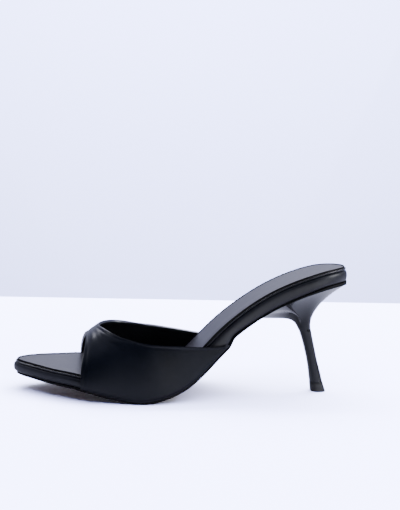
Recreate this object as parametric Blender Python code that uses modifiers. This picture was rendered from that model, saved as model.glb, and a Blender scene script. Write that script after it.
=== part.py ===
"""Heeled slip-on mule for the left foot: open almond toe, one vamp band, slim moulded heel.

The toe points to -X, the outer side of the foot to -Y, and the shoe stands on Z = 0.
Every piece hangs on one line, the top edge of the insole seen from the side. A place on
the shoe is a station along that line and a height square to it.
"""

import bisect
import math

import bmesh
import bpy
import numpy as np
from mathutils import Vector

MM = 0.001

# Footbed: length along the floor and the widths across it.
FOOTBED_LENGTH = 229.8 * MM
BALL_WIDTH = 71.5 * MM
TOE_CURVE = 62.0 * MM
SEAT_CURVE = 30.0 * MM

# Side profile of the footbed.
TOE_SPRING = 10.9 * MM
HEEL_RISE = 79.0 * MM

# Layers under the foot, from the top down.
SOCK_THICKNESS = 0.8 * MM
SOCK_INSET = 3.0 * MM
SOCK_SINK = 0.8 * MM
INSOLE_THICKNESS = 2.2 * MM
RAND_THICKNESS = 6.1 * MM
RAND_SEAT_EXTRA = 1.6 * MM
RAND_OVERHANG_TOE = 1.4 * MM
RAND_OVERHANG_SEAT = 0.5 * MM
RAND_ROUNDING = 1.9 * MM
OUTSOLE_THICKNESS = 1.7 * MM
WAIST_SKIVING = 1.1 * MM
OUTSOLE_OVERHANG = 0.2 * MM
OUTSOLE_TOE_INSET = 0.8 * MM
OUTSOLE_BEVEL = 0.3 * MM
TREAD_PRESS = 0.25 * MM
GAP = 0.3 * MM
SOCK_ROUNDING = 0.3 * MM
SLOPE_REACH = 0.5 * MM

# Vamp band.
UPPER_WALL = 1.8 * MM
INSTEP_HEIGHT = 29.3 * MM
UPPER_CURL = 0.9 * MM
VAMP_EASE = 0.5 * MM
VAMP_SMOOTHING = 20.0 * MM
LASTING_DEPTH = 2.8 * MM
CURL_HEIGHT = 2.1 * MM
CROWN_POWER = 2.15
SPREAD_POWER = 2.4
VAMP_LEAN = 0.5

# Heel and its top piece.
HEEL_SETBACK = 17.0 * MM
TIP_HEIGHT = 6.3 * MM
TIP_CHAMFER = 0.4 * MM
STEM_DEPTH = 7.4 * MM
STEM_WIDTH = 7.6 * MM
STEM_LEAN = 10.0 * MM
FLARE_HEIGHT = 36.0 * MM
HEEL_INSET = 0.5 * MM
BREAST_SETBACK = 48.8 * MM
TONGUE_LENGTH = 24.0 * MM

# Mesh steps.
OUTLINE_STEPS = 120
ACROSS_STEPS = 4
VAMP_ACROSS = 44
VAMP_ALONG = 14
VAMP_CROWDING = 0.62
HEEL_AROUND = 40
STEM_RINGS = 5

# Stretches over which a form grows or runs out, as shares of the footbed's length.
SEAT_GROWTH = (0.50, 0.80)
LASTING_GROWTH = (0.38, 0.54)
LASTING_END = (0.600, 0.632)
SKIVING_GROWTH = (0.60, 0.70)
SKIVING_END = (0.80, 0.96)
OVERHANG_CHANGE = (0.0, 0.80)

# Station as a share of the footbed's length, then the share of the toe spring and of
# the heel rise that the insole's top edge has there.
SIDE_PROFILE = [
    # station, spring, rise
    (0.000, 1.00, 0.000),
    (0.065, 0.97, 0.000),
    (0.130, 0.88, 0.000),
    (0.195, 0.80, 0.000),
    (0.281, 0.425, 0.000),
    (0.345, 0.110, 0.000),
    (0.390, 0.000, 0.000),
    (0.436, 0.000, 0.032),
    (0.485, 0.00, 0.104),
    (0.541, 0.00, 0.254),
    (0.606, 0.00, 0.456),
    (0.671, 0.00, 0.618),
    (0.758, 0.00, 0.786),
    (0.866, 0.00, 0.925),
    (0.940, 0.00, 0.983),
    (1.000, 0.00, 1.000),
]

# Station share, full width and sideways shift of its middle as shares of the ball width.
# The shift is positive towards the inner side of the foot.
PLAN = [
    # station, width, shift
    (0.000, 0.590, 0.072),
    (0.100, 0.755, 0.030),
    (0.195, 0.915, 0.000),
    (0.270, 0.965, -0.012),
    (0.350, 1.000, -0.018),
    (0.420, 0.995, -0.033),
    (0.498, 0.880, -0.040),
    (0.606, 0.725, -0.052),
    (0.714, 0.650, -0.052),
    (0.822, 0.660, -0.050),
    (0.909, 0.650, -0.050),
    (1.000, 0.640, -0.050),
]

# Ridge of the vamp above the insole, as shares of the footbed's length and instep height.
VAMP_RIDGE = [
    # station, height
    (0.183, 0.560),
    (0.200, 0.660),
    (0.218, 0.785),
    (0.240, 0.965),
    (0.260, 1.085),
    (0.286, 1.275),
    (0.312, 1.440),
    (0.352, 1.650),
    (0.384, 1.780),
    (0.433, 1.940),
    (0.498, 2.100),
    (0.606, 2.280),
]

# Topline of the vamp seen from each side, from the throat to where it runs out at the
# outsole: place along the floor, and height above the ball of the footbed as shares of
# the instep height.
TOPLINE = [
    # place, outer, inner
    (0.250, 1.240, 1.240),
    (0.270, 1.245, 1.230),
    (0.292, 1.214, 1.196),
    (0.326, 1.128, 1.138),
    (0.357, 1.071, 1.080),
    (0.383, 1.028, 1.048),
    (0.413, 0.998, 1.018),
    (0.444, 0.978, 0.985),
    (0.479, 0.966, 0.945),
    (0.522, 0.950, 0.892),
    (0.566, 0.936, 0.845),
    (0.609, 0.937, 0.836),
    (0.653, 0.970, 0.850),
]

# Front edge of the vamp: place across from the outer foot (0) over the ridge (0.5) to
# the inner foot (1), and its station.
FRONT_EDGE = [
    # across, station
    (0.00, 0.223),
    (0.15, 0.220),
    (0.32, 0.221),
    (0.50, 0.212),
    (0.68, 0.195),
    (0.85, 0.185),
    (1.00, 0.186),
]

# Heel stem from the floor to the waist: height as a share of the waist height, how much
# of the lean is left, and the section's depth and width as shares of the stem's.
STEM = [
    # height, lean, depth, width
    (0.00, 0.00, 1.46, 1.37),
    (0.15, 0.15, 1.26, 1.20),
    (0.33, 0.30, 1.12, 1.06),
    (0.51, 0.47, 1.00, 1.00),
    (0.67, 0.63, 1.00, 1.00),
    (0.84, 0.81, 1.04, 1.04),
    (1.00, 1.00, 1.14, 1.14),
]

# Rings of the heel's flare between the waist and the seat, as shares of the reach.
FLARE_RINGS = [0.012, 0.03, 0.055, 0.09, 0.13, 0.18, 0.24, 0.32, 0.42, 0.54, 0.68, 0.84, 1.0]
FLANK_POWER = 2.35
BREAST_POWER = 10.5
BREAST_CORNER = (40, 68)
TONGUE_POWERS = (1.7, 0.8)
STEM_POWER = 0.85
TIP_DRAW = 0.06

# What follows from the sizes above.
HEEL_STATION = FOOTBED_LENGTH - HEEL_SETBACK
BREAST_STATION = FOOTBED_LENGTH - BREAST_SETBACK
WAIST_HEIGHT = HEEL_RISE - FLARE_HEIGHT
BALL_LEVEL = INSOLE_THICKNESS + 2 * GAP + RAND_THICKNESS + OUTSOLE_THICKNESS - TREAD_PRESS


def spline(knots, values):
    """Natural cubic curve through the knots, straight on past both ends."""
    x = np.array(knots, dtype=float)
    y = np.array(values, dtype=float)
    step = np.diff(x)
    slope = np.diff(y) / step
    count = len(x)
    matrix = np.eye(count)
    right = np.zeros(count)
    for i in range(1, count - 1):
        matrix[i, i - 1] = step[i - 1]
        matrix[i, i] = 2 * (step[i - 1] + step[i])
        matrix[i, i + 1] = step[i]
        right[i] = 6 * (slope[i] - slope[i - 1])
    bend = np.linalg.solve(matrix, right)
    inner = x[1:-1].tolist()

    def value(at):
        i = bisect.bisect_right(inner, at)
        inside = min(max(at, x[0]), x[-1])
        a = (x[i + 1] - inside) / step[i]
        b = (inside - x[i]) / step[i]
        level = a * y[i] + b * y[i + 1]
        level += ((a ** 3 - a) * bend[i] + (b ** 3 - b) * bend[i + 1]) * step[i] ** 2 / 6
        end_slope = slope[i] + ((1 - 3 * a * a) * bend[i] + (3 * b * b - 1) * bend[i + 1]) * step[i] / 6
        return float(level + end_slope * (at - inside))

    return value


def column(table, index):
    return [row[index] for row in table]


def stations(table):
    return [row[0] * FOOTBED_LENGTH for row in table]


LIFT = spline(stations(SIDE_PROFILE), [TOE_SPRING * row[1] + HEEL_RISE * row[2] for row in SIDE_PROFILE])
WIDTH = spline(stations(PLAN), column(PLAN, 1))
SHIFT = spline(stations(PLAN), column(PLAN, 2))
RIDGE = spline(stations(VAMP_RIDGE), column(VAMP_RIDGE, 1))
TOPLINE_OUTER = spline(stations(TOPLINE), column(TOPLINE, 1))
TOPLINE_INNER = spline(stations(TOPLINE), column(TOPLINE, 2))
FRONT = spline(column(FRONT_EDGE, 0), column(FRONT_EDGE, 1))


def clamp(value, low=0.0, high=1.0):
    return min(max(value, low), high)


def smoothstep(value):
    t = clamp(value)
    return t * t * (3 - 2 * t)


def grown(station, stretch):
    """0 before a stretch of the footbed, 1 after it and smooth between."""
    start, end = stretch
    return smoothstep((station / FOOTBED_LENGTH - start) / (end - start))


def lasting(station):
    """Extra depth of the rand behind the ball, which stops at a small step past the vamp."""
    return LASTING_DEPTH * grown(station, LASTING_GROWTH) * (1 - grown(station, LASTING_END))


def skiving(station):
    """How much the outsole is thinned under the waist, which the rand takes up."""
    return WAIST_SKIVING * grown(station, SKIVING_GROWTH) * (1 - grown(station, SKIVING_END))


def rand_thickness(station):
    """The rand grows thicker from the shank to the heel seat."""
    seat = RAND_SEAT_EXTRA * grown(station, SEAT_GROWTH)
    return RAND_THICKNESS + seat + lasting(station) + skiving(station)


def rand_foot(station):
    """Depth of the rand's underside and the vamp's lower edge below the insole's top edge."""
    return INSOLE_THICKNESS + GAP + rand_thickness(station)


def outsole_thickness(station):
    return OUTSOLE_THICKNESS - skiving(station)


def sole_depth(station):
    return rand_foot(station) + GAP + outsole_thickness(station)


def footbed_level(station):
    return BALL_LEVEL + LIFT(station)


def footbed_slope(station):
    rise = footbed_level(station + SLOPE_REACH) - footbed_level(station - SLOPE_REACH)
    return math.atan2(rise, 2 * SLOPE_REACH)


def place(station, height, across):
    """World point at a station, a height square to the footbed and a place across it."""
    slope = footbed_slope(station)
    x = station - height * math.sin(slope)
    z = footbed_level(station) + height * math.cos(slope)
    return Vector((x, across, max(z, 0.0)))


def half_width(station):
    """Half of the footbed's width, round at the toe and at the seat."""
    s = clamp(station, 0.0, FOOTBED_LENGTH)
    toe = math.sqrt(max(1 - max(1 - s / TOE_CURVE, 0) ** 2, 0))
    seat = math.sqrt(max(1 - max(1 - (FOOTBED_LENGTH - s) / SEAT_CURVE, 0) ** 2, 0))
    return 0.5 * BALL_WIDTH * WIDTH(s) * toe * seat


def middle(station):
    return BALL_WIDTH * SHIFT(station)


def outline(outset=lambda station: 0.0):
    """Closed plan outline as (station, across), moved out square to itself."""
    points = []
    for k in range(OUTLINE_STEPS):
        angle = 2 * math.pi * k / OUTLINE_STEPS
        station = FOOTBED_LENGTH * (1 - math.cos(angle)) / 2
        side = -1 if angle <= math.pi else 1
        points.append((station, middle(station) + side * half_width(station)))
    moved = []
    for k, (station, across) in enumerate(points):
        ahead = points[(k + 1) % OUTLINE_STEPS]
        behind = points[k - 1]
        run = Vector((ahead[0] - behind[0], ahead[1] - behind[1])).normalized()
        distance = outset(station)
        moved.append((station + run.y * distance, across - run.x * distance))
    return moved


def add_strips(bm, ring, upward):
    """Cover the inside of a mirrored ring with strips across."""
    count = len(ring)
    half = count // 2
    rows = []
    for k in range(1, half):
        near = ring[k]
        far = ring[count - k]
        inner = [bm.verts.new(near.co.lerp(far.co, i / ACROSS_STEPS)) for i in range(1, ACROSS_STEPS)]
        rows.append([near] + inner + [far])
    faces = []
    for first, second in zip(rows, rows[1:]):
        for i in range(len(first) - 1):
            faces.append([first[i], second[i], second[i + 1], first[i + 1]])
    for tip, row in ((ring[0], rows[0]), (ring[half], rows[-1])):
        for i in range(len(row) - 1):
            faces.append([tip, row[i], row[i + 1]] if tip is ring[0] else [tip, row[i + 1], row[i]])
    for corners in faces:
        bm.faces.new(corners if upward else corners[::-1])


def join_rings(bm, rings):
    for lower, upper in zip(rings, rings[1:]):
        count = len(lower)
        for k in range(count):
            n = (k + 1) % count
            bm.faces.new([lower[k], lower[n], upper[n], upper[k]])


def finish_mesh(name, bm, colour, roughness, coat=0.0):
    """Turn the mesh outwards, give it its object and its material."""
    bmesh.ops.recalc_face_normals(bm, faces=bm.faces)
    mesh = bpy.data.meshes.new(name)
    bm.to_mesh(mesh)
    bm.free()
    mesh.shade_smooth()
    mesh.set_sharp_from_angle(angle=math.radians(50))
    material = bpy.data.materials.new(name + "_finish")
    material.use_nodes = True
    shader = material.node_tree.nodes["Principled BSDF"]
    shader.inputs["Base Color"].default_value = (*colour, 1.0)
    shader.inputs["Roughness"].default_value = roughness
    shader.inputs["Metallic"].default_value = 0.0
    shader.inputs["Coat Weight"].default_value = coat
    mesh.materials.append(material)
    item = bpy.data.objects.new(name, mesh)
    collection.objects.link(item)
    return item


def build_layer(name, rings, colour, roughness):
    """A sole layer through rings of (station, across, height), from its underside up."""
    bm = bmesh.new()
    made = []
    for ring in rings:
        made.append([bm.verts.new(place(s, h, y)) for s, y, h in ring])
    join_rings(bm, made)
    add_strips(bm, made[0], upward=False)
    add_strips(bm, made[-1], upward=True)
    return finish_mesh(name, bm, colour, roughness)


def layer_rings(edge, top, thickness):
    """Rings of a layer: edge rows of (height share, outset function), top and thickness by station."""
    rings = []
    for share, outset in edge:
        rings.append([(s, y, top(s) - thickness(s) * (1 - share)) for s, y in outline(outset)])
    return rings


def outsole_overhang(station):
    """The outsole stops a little short of the rand at the toe."""
    return OUTSOLE_OVERHANG - OUTSOLE_TOE_INSET * (1 - smoothstep(station / TOE_CURVE))


def build_outsole():
    edge = [
        (0.0, lambda s: outsole_overhang(s) - OUTSOLE_BEVEL),
        (0.25, outsole_overhang),
        (1.0, outsole_overhang),
    ]
    rings = layer_rings(edge, lambda s: -rand_foot(s) - GAP, outsole_thickness)
    return build_layer("outsole", rings, (0.012, 0.011, 0.011), 0.5)


def rand_overhang(station):
    return RAND_OVERHANG_TOE + (RAND_OVERHANG_SEAT - RAND_OVERHANG_TOE) * grown(station, OVERHANG_CHANGE)


def rand_edge(share):
    """How far the rand's rounded edge draws in at a share of its height."""
    return RAND_ROUNDING * (1 - math.sqrt(max(1 - abs(2 * share - 1) ** 2.6, 0)))


def build_rand():
    edge = []
    for share in (0.0, 0.06, 0.16, 0.32, 0.5, 0.68, 0.84, 0.94, 1.0):
        edge.append((share, lambda s, share=share: rand_overhang(s) - rand_edge(share)))
    rings = layer_rings(edge, lambda s: -INSOLE_THICKNESS - GAP, rand_thickness)
    return build_layer("rand", rings, (0.014, 0.014, 0.016), 0.38)


def build_insole():
    rounding = 0.45 * INSOLE_THICKNESS
    edge = []
    for share in (0.0, 0.15, 0.5, 0.8, 0.95, 1.0):
        draw = rounding * (1 - math.sqrt(max(1 - abs(2 * share - 1) ** 3, 0)))
        edge.append((share, lambda s, draw=draw: -draw))
    rings = layer_rings(edge, lambda s: 0.0, lambda s: INSOLE_THICKNESS)
    for depth in (0.0, SOCK_SINK):
        rings.append([(s, y, -depth) for s, y in outline(lambda s: GAP - SOCK_INSET)])
    return build_layer("insole", rings, (0.016, 0.016, 0.018), 0.4)


def build_sock():
    edge = [
        (0.0, lambda s: -SOCK_INSET),
        (0.6, lambda s: -SOCK_INSET),
        (1.0, lambda s: -SOCK_INSET - SOCK_ROUNDING),
    ]
    rings = layer_rings(edge, lambda s: GAP + SOCK_THICKNESS - SOCK_SINK, lambda s: SOCK_THICKNESS)
    return build_layer("insole_sock", rings, (0.02, 0.02, 0.023), 0.42)


def topline_level(along, turn):
    inner = smoothstep((turn - 0.4) / 0.2)
    share = TOPLINE_OUTER(along) * (1 - inner) + TOPLINE_INNER(along) * inner
    return BALL_LEVEL + INSTEP_HEIGHT * share


def vamp_point(station, turn):
    """Outer surface of the vamp; turn runs 0 to 1 from the outer foot over to the inner."""
    foot = -rand_foot(station)
    ridge = INSTEP_HEIGHT * RIDGE(station)
    angle = math.pi * turn
    height = foot + (ridge - foot) * math.sin(angle) ** (2 / CROWN_POWER)
    spread = abs(math.cos(angle)) ** (2 / SPREAD_POWER)
    reach = half_width(station) + rand_overhang(station) + VAMP_EASE + UPPER_WALL
    curl = UPPER_CURL * clamp(1 - (height - foot) / CURL_HEIGHT) ** 2
    side = -1 if turn < 0.5 else 1
    return height, middle(station) + side * (reach * spread - curl)


def vamp_place(station, height, across):
    """The vamp stands on the rand's foot and rises square to a smoothed line of the sole."""
    foot = rand_foot(station)
    ahead = footbed_level(station + VAMP_SMOOTHING)
    behind = footbed_level(station - VAMP_SMOOTHING)
    tilt = VAMP_LEAN * math.atan2(ahead - behind, 2 * VAMP_SMOOTHING)
    run = height + foot
    return place(station, -foot, across) + Vector((-math.sin(tilt) * run, 0, math.cos(tilt) * run))


def vamp_end(turn):
    """Station where the line at this turn runs into the topline."""
    low = FRONT(turn) * FOOTBED_LENGTH
    high = TOPLINE[-1][0] * FOOTBED_LENGTH
    for _ in range(40):
        trial = (low + high) / 2
        point = vamp_place(trial, *vamp_point(trial, turn))
        if point.z < topline_level(point.x, turn):
            low = trial
        else:
            high = trial
    return low


def build_upper():
    bm = bmesh.new()
    rows = []
    for i in range(VAMP_ACROSS + 1):
        even = i / VAMP_ACROSS
        turn = even - VAMP_CROWDING * math.sin(2 * math.pi * even) / (2 * math.pi)
        start = FRONT(turn) * FOOTBED_LENGTH
        end = vamp_end(turn)
        row = []
        for k in range(VAMP_ALONG + 1):
            station = start + (end - start) * k / VAMP_ALONG
            height, across = vamp_point(station, turn)
            row.append(bm.verts.new(vamp_place(station, height, across)))
        rows.append(row)
    for first, second in zip(rows, rows[1:]):
        for k in range(VAMP_ALONG):
            bm.faces.new([first[k], first[k + 1], second[k + 1], second[k]])
    item = finish_mesh("upper", bm, (0.012, 0.013, 0.016), 0.36)
    wall = item.modifiers.new("wall", 'SOLIDIFY')
    wall.thickness = UPPER_WALL
    wall.offset = -1.0
    wall.use_even_offset = True
    return item


STEM_LEANING = spline(column(STEM, 0), column(STEM, 1))
STEM_DEEP = spline(column(STEM, 0), column(STEM, 2))
STEM_WIDE = spline(column(STEM, 0), column(STEM, 3))


def stem_ring(level):
    """Section of the stem at a level above the floor, starting at its front."""
    share = level / WAIST_HEIGHT
    centre = HEEL_STATION - STEM_LEAN * STEM_LEANING(share)
    deep = 0.5 * STEM_DEPTH * STEM_DEEP(share)
    wide = 0.5 * STEM_WIDTH * STEM_WIDE(share)
    ring = []
    for k in range(HEEL_AROUND):
        angle = 2 * math.pi * k / HEEL_AROUND
        along = -math.copysign(abs(math.cos(angle)) ** STEM_POWER, math.cos(angle))
        across = -math.copysign(abs(math.sin(angle)) ** STEM_POWER, math.sin(angle))
        ring.append(Vector((centre + deep * along, middle(HEEL_STATION) + wide * across, level)))
    return ring


def seat_ring():
    """Top edge of the heel against the outsole, with the tongue under the shank."""
    front = BREAST_STATION - TONGUE_LENGTH
    back = FOOTBED_LENGTH - HEEL_INSET
    widening, rounding = TONGUE_POWERS
    ring = []
    for k in range(HEEL_AROUND):
        angle = 2 * math.pi * k / HEEL_AROUND
        station = front + (back - front) * (1 - math.cos(angle)) / 2
        taper = clamp((BREAST_STATION - station) / TONGUE_LENGTH)
        share = (station - front) / (back - front)
        reach = half_width(station - HEEL_INSET * share) - HEEL_INSET
        reach *= (1 - taper ** widening) ** rounding
        side = -1 if angle <= math.pi else 1
        point = place(station, -sole_depth(station), middle(station) + side * max(reach, 0))
        ring.append(point - Vector((0, 0, GAP)))
    return ring


def breast_share(k):
    """1 round the front of the heel, 0 on its flanks and back, changing over the corners."""
    start, end = BREAST_CORNER
    turned = abs((360 * k / HEEL_AROUND + 180) % 360 - 180)
    return 1 - smoothstep((turned - start) / (end - start))


def build_heel():
    bm = bmesh.new()
    foot = TIP_HEIGHT + GAP
    rings = [stem_ring(foot + (WAIST_HEIGHT - foot) * i / STEM_RINGS) for i in range(STEM_RINGS + 1)]
    waist = rings[-1]
    seat = seat_ring()
    lean = STEM_LEAN * (STEM_LEANING(1.0) - STEM_LEANING(0.9)) / (0.1 * WAIST_HEIGHT)
    for reach in FLARE_RINGS:
        ring = []
        for k in range(HEEL_AROUND):
            breast = breast_share(k)
            lift = (1 - breast) * reach ** (1 / FLANK_POWER) + breast * (1 - (1 - reach) ** BREAST_POWER)
            start = waist[k]
            end = seat[k]
            x = start.x + (end.x - start.x) * reach
            x -= lean * (end.z - start.z) * lift * (1 - lift) ** 3
            y = start.y + (end.y - start.y) * reach
            ring.append(Vector((x, y, start.z + (end.z - start.z) * lift)))
        rings.append(ring)
    made = [[bm.verts.new(point) for point in ring] for ring in rings]
    join_rings(bm, made)
    add_strips(bm, made[0], upward=False)
    add_strips(bm, made[-1], upward=True)
    return finish_mesh("heel", bm, (0.008, 0.008, 0.009), 0.12, coat=0.6)


def build_heel_tip():
    bm = bmesh.new()
    rings = [stem_ring(0.0), stem_ring(TIP_CHAMFER), stem_ring(TIP_HEIGHT)]
    centre = sum(rings[0], Vector()) / HEEL_AROUND
    rings[0] = [point.lerp(centre, TIP_DRAW) for point in rings[0]]
    made = [[bm.verts.new(point) for point in ring] for ring in rings]
    join_rings(bm, made)
    add_strips(bm, made[0], upward=False)
    add_strips(bm, made[-1], upward=True)
    return finish_mesh("heel_tip", bm, (0.015, 0.015, 0.015), 0.55)


def centre_on_box(items):
    """Move every piece alike, so that the shoe's box is centred on the origin in plan."""
    low = [min(v.co[axis] for item in items for v in item.data.vertices) for axis in (0, 1)]
    high = [max(v.co[axis] for item in items for v in item.data.vertices) for axis in (0, 1)]
    shift = Vector(((low[0] + high[0]) / 2, (low[1] + high[1]) / 2, 0))
    for item in items:
        for vertex in item.data.vertices:
            vertex.co -= shift
    return shift


for old in list(bpy.data.objects):
    bpy.data.objects.remove(old, do_unlink=True)

collection = bpy.data.collections.new("toe_mule")
bpy.context.scene.collection.children.link(collection)

pieces = [
    build_outsole(),
    build_rand(),
    build_insole(),
    build_sock(),
    build_upper(),
    build_heel(),
    build_heel_tip(),
]
moved = centre_on_box(pieces)
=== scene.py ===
import math

import bpy
import numpy as np
from mathutils import Matrix, Vector


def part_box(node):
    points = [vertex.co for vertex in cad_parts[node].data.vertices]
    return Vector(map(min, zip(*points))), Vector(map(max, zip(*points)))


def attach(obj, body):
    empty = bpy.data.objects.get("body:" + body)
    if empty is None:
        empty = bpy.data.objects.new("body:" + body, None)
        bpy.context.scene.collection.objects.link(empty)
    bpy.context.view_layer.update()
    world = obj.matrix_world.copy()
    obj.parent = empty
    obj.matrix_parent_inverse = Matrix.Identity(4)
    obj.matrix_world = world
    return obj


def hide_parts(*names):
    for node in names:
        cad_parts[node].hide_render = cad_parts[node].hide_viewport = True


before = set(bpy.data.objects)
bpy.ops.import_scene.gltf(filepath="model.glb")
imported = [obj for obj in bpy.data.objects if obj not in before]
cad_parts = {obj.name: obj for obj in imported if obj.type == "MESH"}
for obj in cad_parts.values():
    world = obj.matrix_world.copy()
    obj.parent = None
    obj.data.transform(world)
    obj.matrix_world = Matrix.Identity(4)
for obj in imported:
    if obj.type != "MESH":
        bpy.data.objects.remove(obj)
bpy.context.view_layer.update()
mm = 0.001
gap = 0.3 * mm

# The last: one line seen from the side, and the outline seen from above.
last = {
    "length": 229.8 * mm,
    "ballWidth": 71.5 * mm,
    "toeCurve": 62.0 * mm,
    "seatCurve": 30.0 * mm,
    "toeSpring": 10.9 * mm,
    "heelRise": 79.0 * mm,
    "ballLevel": 10.35 * mm,      # top of the insole at the ball, above the floor
    "heelSetback": 17.0 * mm,     # middle of the heel tip, in front of the last's back end
    "toeReach": 1.44 * mm,        # how far the platform's toe stands out past the last
    "outlineSteps": 400,
    "acrossSteps": 14,
}

# Station as a share of the length, then shares of toe spring and heel rise.
sideProfile = [
    (0.000, 1.00, 0.000),
    (0.065, 0.97, 0.000),
    (0.130, 0.88, 0.000),
    (0.195, 0.80, 0.000),
    (0.281, 0.425, 0.000),
    (0.345, 0.110, 0.000),
    (0.390, 0.000, 0.000),
    (0.436, 0.000, 0.032),
    (0.485, 0.000, 0.104),
    (0.541, 0.000, 0.254),
    (0.606, 0.000, 0.456),
    (0.671, 0.000, 0.618),
    (0.758, 0.000, 0.786),
    (0.866, 0.000, 0.925),
    (0.940, 0.000, 0.983),
    (1.000, 0.000, 1.000),
]

# Station share, full width and shift of the middle as shares of the ball width.
planShape = [
    (0.000, 0.590, 0.072),
    (0.100, 0.755, 0.030),
    (0.195, 0.915, 0.000),
    (0.270, 0.965, -0.012),
    (0.350, 1.000, -0.018),
    (0.420, 0.995, -0.033),
    (0.498, 0.880, -0.040),
    (0.606, 0.725, -0.052),
    (0.714, 0.650, -0.052),
    (0.822, 0.660, -0.050),
    (0.909, 0.650, -0.050),
    (1.000, 0.640, -0.050),
]


def splineOf(knots, values):
    # natural cubic curve through the knots, straight on past both ends
    x = np.array(knots, float)
    y = np.array(values, float)
    step = np.diff(x)
    slope = np.diff(y) / step
    matrix = np.eye(len(x))
    right = np.zeros(len(x))
    for i in range(1, len(x) - 1):
        matrix[i, i - 1:i + 2] = step[i - 1], 2 * (step[i - 1] + step[i]), step[i]
        right[i] = 6 * (slope[i] - slope[i - 1])
    bend = np.linalg.solve(matrix, right)

    def value(at):
        at = np.asarray(at, float)
        i = np.clip(np.searchsorted(x, at, side="right") - 1, 0, len(step) - 1)
        inside = np.clip(at, x[0], x[-1])
        b = (inside - x[i]) / step[i]
        a = 1 - b
        level = a * y[i] + b * y[i + 1]
        level = level + ((a ** 3 - a) * bend[i] + (b ** 3 - b) * bend[i + 1]) * step[i] ** 2 / 6
        endSlope = slope[i] + ((1 - 3 * a * a) * bend[i] + (3 * b * b - 1) * bend[i + 1]) * step[i] / 6
        return level + endSlope * (at - inside)

    return value


def tableSpline(table, index, scale=last["length"]):
    return splineOf([row[0] * scale for row in table], [row[index] for row in table])


def smooth(value):
    t = np.clip(value, 0, 1)
    return t * t * (3 - 2 * t)


def grown(station, start, end):
    # 0 before a stretch of the length, 1 after it
    return smooth((station / last["length"] - start) / (end - start))


liftAt = splineOf(
    [row[0] * last["length"] for row in sideProfile],
    [last["toeSpring"] * row[1] + last["heelRise"] * row[2] for row in sideProfile],
)
widthAt = tableSpline(planShape, 1)
shiftAt = tableSpline(planShape, 2)


def footbedLevel(station):
    return last["ballLevel"] + liftAt(station)


def slopeAt(station, reach=0.5 * mm):
    return np.arctan2(footbedLevel(station + reach) - footbedLevel(station - reach), 2 * reach)


def middleAt(station):
    return last["ballWidth"] * shiftAt(station)


def halfWidth(station):
    s = np.clip(station, 0, last["length"])
    toe = np.sqrt(np.clip(1 - np.clip(1 - s / last["toeCurve"], 0, 1) ** 2, 0, 1))
    back = (last["length"] - s) / last["seatCurve"]
    seat = np.sqrt(np.clip(1 - np.clip(1 - back, 0, 1) ** 2, 0, 1))
    return 0.5 * last["ballWidth"] * widthAt(s) * toe * seat


# Where the last lies in the frame: the heel tip gives its side, the platform its toe.
heelStation = last["length"] - last["heelSetback"]
tipLow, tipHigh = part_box("heel_tip")
lastShift = np.array([
    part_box("rand")[0].x + last["toeReach"],
    (tipLow.y + tipHigh.y) / 2 - float(middleAt(heelStation)),
    0.0,
])


def place(station, height, across):
    # points at stations, heights square to the footbed and places across it, none under the floor
    station, height, across = np.broadcast_arrays(station, height, across)
    slope = slopeAt(station)
    x = station - height * np.sin(slope)
    z = np.maximum(footbedLevel(station) + height * np.cos(slope), 0)
    return np.stack([x, across, z], axis=-1) + lastShift


def outlineRing(outset):
    # closed outline as stations and places across, moved out square to itself
    angle = 2 * np.pi * np.arange(last["outlineSteps"]) / last["outlineSteps"]
    station = last["length"] * (1 - np.cos(angle)) / 2
    side = np.where(angle <= np.pi, -1, 1)
    across = middleAt(station) + side * halfWidth(station)
    run = np.stack([np.roll(station, -1) - np.roll(station, 1), np.roll(across, -1) - np.roll(across, 1)])
    run = run / np.linalg.norm(run, axis=0)
    distance = outset(station) if callable(outset) else outset
    return station + run[1] * distance, across - run[0] * distance


class Value:
    # one value in a material, which Python's operators work on
    def __init__(self, tree, socket=None):
        self.tree = tree
        self.socket = socket

    def node(self, kind, settings=None, inputs=None, out=0):
        made = self.tree.nodes.new(kind)
        for name, setting in (settings or {}).items():
            setattr(made, name, setting)
        for name, given in (inputs or {}).items():
            if isinstance(given, Value):
                self.tree.links.new(given.socket, made.inputs[name])
            else:
                made.inputs[name].default_value = given
        return Value(self.tree, made.outputs[out])

    def maths(self, operation, other):
        return self.node("ShaderNodeMath", {"operation": operation}, {0: self, 1: other})

    def __add__(self, other):
        return self.maths("ADD", other)

    __radd__ = __add__

    def __sub__(self, other):
        return self.maths("SUBTRACT", other)

    def __rsub__(self, other):
        return (self * -1.0) + other

    def __mul__(self, other):
        return self.maths("MULTIPLY", other)

    __rmul__ = __mul__

    def between(self, low, high):
        # 0 below low, 1 above high
        inputs = {"Value": self, "From Min": low, "From Max": high}
        return self.node("ShaderNodeMapRange", {"interpolation_type": "SMOOTHSTEP"}, inputs)

    def mix(self, first, second):
        # colours, led from first to second by this value
        inputs = {0: self, 6: first, 7: second}
        return self.node("ShaderNodeMix", {"data_type": "RGBA"}, inputs, out=2)


def newMaterial(name, constants):
    # an empty material with its shader's fixed values set on the shader itself
    made = bpy.data.materials.new(name)
    made.use_nodes = True
    shader = made.node_tree.nodes["Principled BSDF"]
    for socket, level in constants.items():
        shader.inputs[socket].default_value = level
    return made, shader, Value(made.node_tree)


def feed(start, shader, links):
    for socket, value in links.items():
        start.tree.links.new(value.socket, shader.inputs[socket])


def colour(red, green, blue):
    return (red, green, blue, 1)


leatherGrain = {
    "pebbleEdges": (0.15, 0.75),
    "pebbleShare": -0.6,          # pebbles stand up between the cells' borders
    "fineness": 2.6,              # fine grain to a pebble
    "fineShare": 0.4,
    "depth": 0.06 * mm,
    "cloudEdges": (0.35, 0.68),
    "fineRoughness": 0.05,
}


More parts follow.
